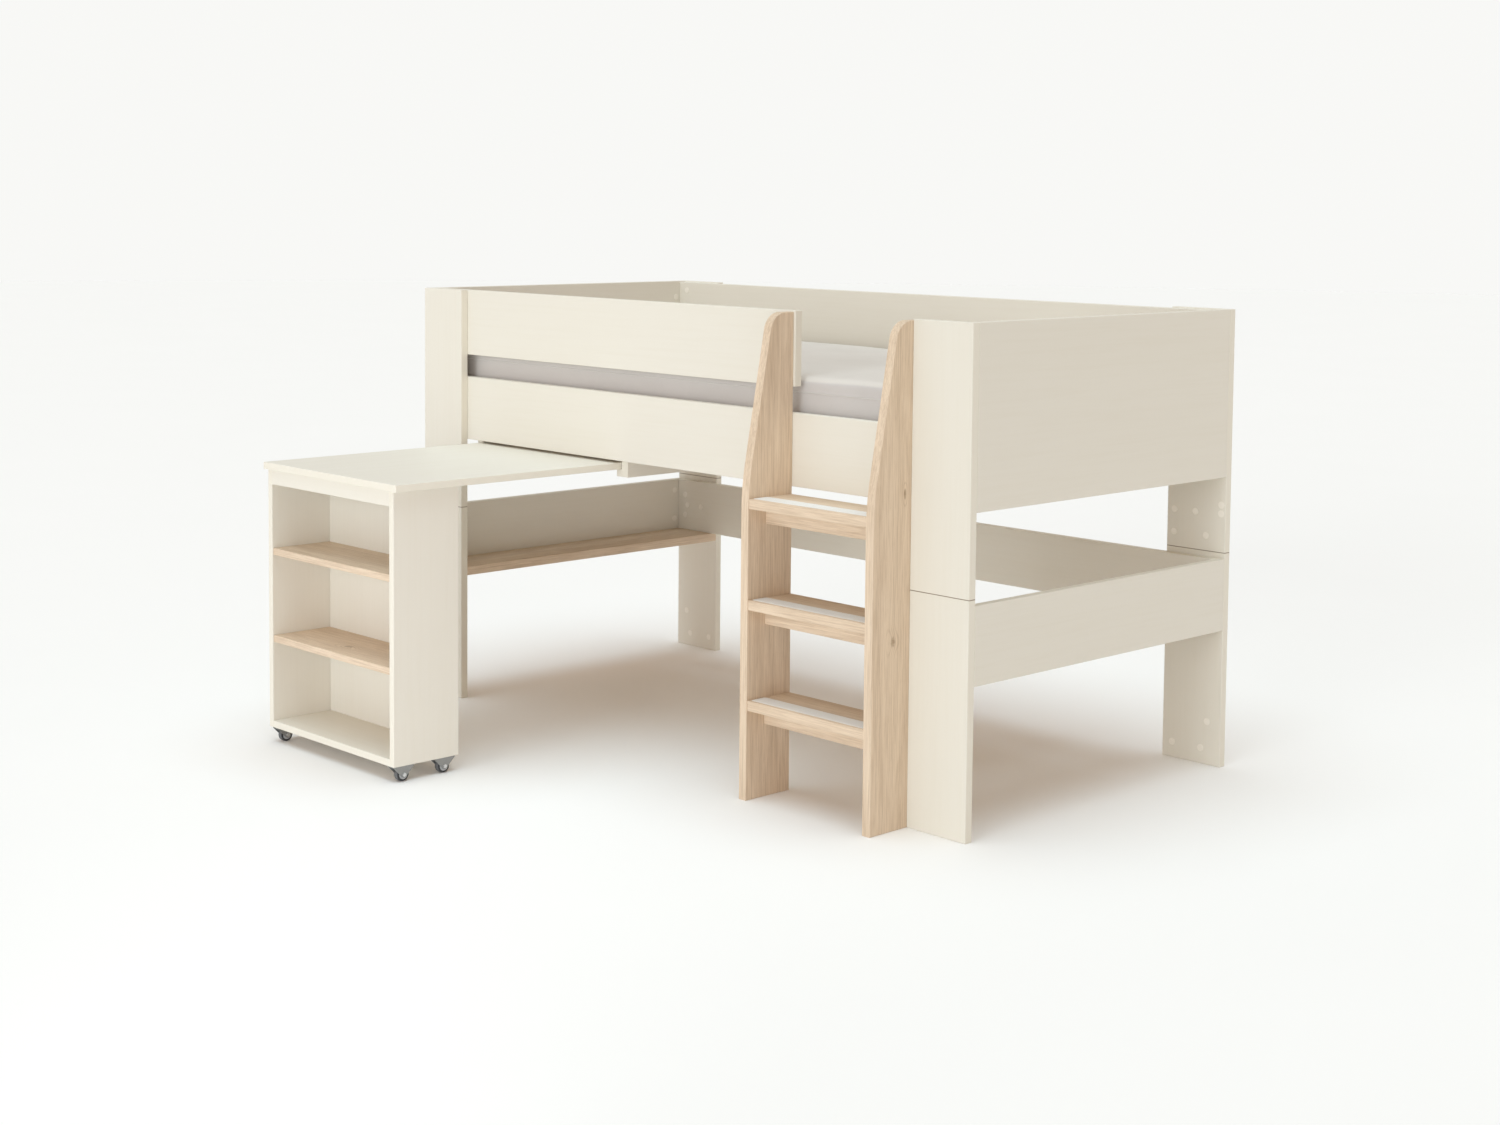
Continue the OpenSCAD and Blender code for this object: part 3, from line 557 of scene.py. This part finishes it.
def perimeter_at(piece, height):
    """Points round the piece where it is widest at that height, from rays cast at it from outside."""
    low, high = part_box("mattress")
    middle = (low + high) / 2
    tree = BVHTree.FromObject(piece, bpy.context.evaluated_depsgraph_get())
    z = low.z + (high.z - low.z) * height
    half_x = (high.x - low.x) / 2
    half_y = (high.y - low.y) / 2
    points = []
    for i in range(PERIMETER_RAYS):
        turn = 2 * math.pi * i / PERIMETER_RAYS
        direction = Vector((math.cos(turn) * half_x, math.sin(turn) * half_y, 0)).normalized()
        to_end = half_x / max(abs(direction.x), NEARLY_ZERO)
        to_side = half_y / max(abs(direction.y), NEARLY_ZERO)
        reach = min(to_end, to_side) + RAY_MARGIN
        outside = Vector((middle.x, middle.y, z)) + direction * reach
        hit = tree.ray_cast(outside, -direction)[0]
        if hit is not None:
            points.append(hit)
    return points


def tube(name, points, radius, sides):
    """A closed tube of mesh that follows a closed loop of points."""
    bm = bmesh.new()
    rings = []
    turns = [2 * math.pi * k / sides for k in range(sides)]
    for i, at in enumerate(points):
        ahead = points[(i + 1) % len(points)]
        behind = points[i - 1]
        side = (ahead - behind).normalized().cross(UP).normalized()
        offsets = [(side * math.cos(turn) + UP * math.sin(turn)) * radius for turn in turns]
        rings.append([bm.verts.new(at + offset) for offset in offsets])
    for i, ring in enumerate(rings):
        following = rings[(i + 1) % len(rings)]
        for k in range(sides):
            face = bm.faces.new((ring[k], ring[(k + 1) % sides], following[(k + 1) % sides], following[k]))
            face.smooth = True
    bmesh.ops.recalc_face_normals(bm, faces=bm.faces[:])
    return put_mesh(name, bm)


def make_mattress():
    """The mattress: a swollen cover, and piping where its border is sewn to its top and bottom."""
    cover = mattress_blank()
    inflate(cover)
    shape_mattress(cover)
    smooth_cover(cover)
    cover.data.materials.clear()
    cover.data.materials.append(mattress_fabric())
    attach(cover, "mattress")
    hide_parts("mattress")
    thread = seam_thread()
    for name, height in zip(("mattress_piping_low", "mattress_piping_high"), SEAM_HEIGHTS):
        piping = tube(name, perimeter_at(cover, height), PIPING_RADIUS, PIPING_SIDES)
        piping.data.materials.append(thread)
        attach(piping, "mattress")


# ---- Stage ----

def make_floor():
    """A plain pale floor."""
    bm = bmesh.new()
    bmesh.ops.create_circle(bm, cap_ends=True, segments=96, radius=FLOOR_RADIUS)
    floor = put_mesh("floor", bm)
    floor.location.z = cad_bounds[0][2] - FLOOR_DROP
    s = Shading("floor_paper", Roughness=0.8)
    cloud = s.noise(s.where["Object"], FLOOR_CLOUDS, 2)
    floor.data.materials.append(s.finish(s.mix(cloud, *FLOOR)))


def add_lamp(name, kind, power, colour, towards):
    """A lamp that shines from the direction towards."""
    light = bpy.data.lights.new(name, kind)
    light.energy = power
    light.color = colour
    lamp = put_in_scene(name, light)
    lamp.rotation_euler = Vector(towards).to_track_quat("Z", "Y").to_euler()
    return lamp


def make_light():
    """Wide soft light from the front and from above, a softbox by the desk, and an even pale surround."""
    for name, (power, colour, towards, width) in FAR_LAMPS.items():
        add_lamp(name, "SUN", power, colour, towards).data.angle = math.radians(width)
    power, colour, place, target, size, spread = DESK_LAMP
    softbox = add_lamp("desk_softbox", "AREA", power, colour, place - target)
    softbox.data.size = size
    softbox.data.spread = math.radians(spread)
    softbox.location = place
    world = bpy.data.worlds.new("studio")
    bpy.context.scene.world = world
    world.use_nodes = True
    tree = world.node_tree
    tree.nodes.clear()
    fill = tree.nodes.new("ShaderNodeBackground")
    fill.inputs["Color"].default_value = (*SKY_FILL, 1)
    fill.inputs["Strength"].default_value = SKY_STRENGTH
    seen = tree.nodes.new("ShaderNodeBackground")
    seen.inputs["Color"].default_value = (*BACKDROP, 1)
    rays = tree.nodes.new("ShaderNodeLightPath")
    choose = tree.nodes.new("ShaderNodeMixShader")
    out = tree.nodes.new("ShaderNodeOutputWorld")
    tree.links.new(rays.outputs["Is Camera Ray"], choose.inputs[0])
    tree.links.new(fill.outputs[0], choose.inputs[1])
    tree.links.new(seen.outputs[0], choose.inputs[2])
    tree.links.new(choose.outputs[0], out.inputs["Surface"])


def make_camera():
    """The camera at the photograph's viewing angle."""
    azimuth = math.radians(CAMERA_AZIMUTH)
    elevation = math.radians(CAMERA_ELEVATION)
    outward = math.cos(elevation)
    back = Vector((math.sin(azimuth) * outward, -math.cos(azimuth) * outward, math.sin(elevation)))
    level = UP.cross(back).normalized()
    upright = back.cross(level)
    turn = Matrix((level, upright, back)).transposed()
    roll = Matrix.Rotation(math.radians(CAMERA_ROLL), 3, "Z")
    data = bpy.data.cameras.new("camera")
    data.sensor_width = SENSOR_WIDTH
    data.lens = CAMERA_LENS
    data.shift_y = CAMERA_SHIFT_UP
    camera = put_in_scene("camera", data)
    camera.matrix_world = Matrix.Translation(CAMERA_AT) @ (turn @ roll).to_4x4()
    bpy.context.scene.camera = camera


bpy.context.scene.view_settings.view_transform = "Standard"
paint_cad_nodes()
make_mattress()
make_floor()
make_light()
make_camera()
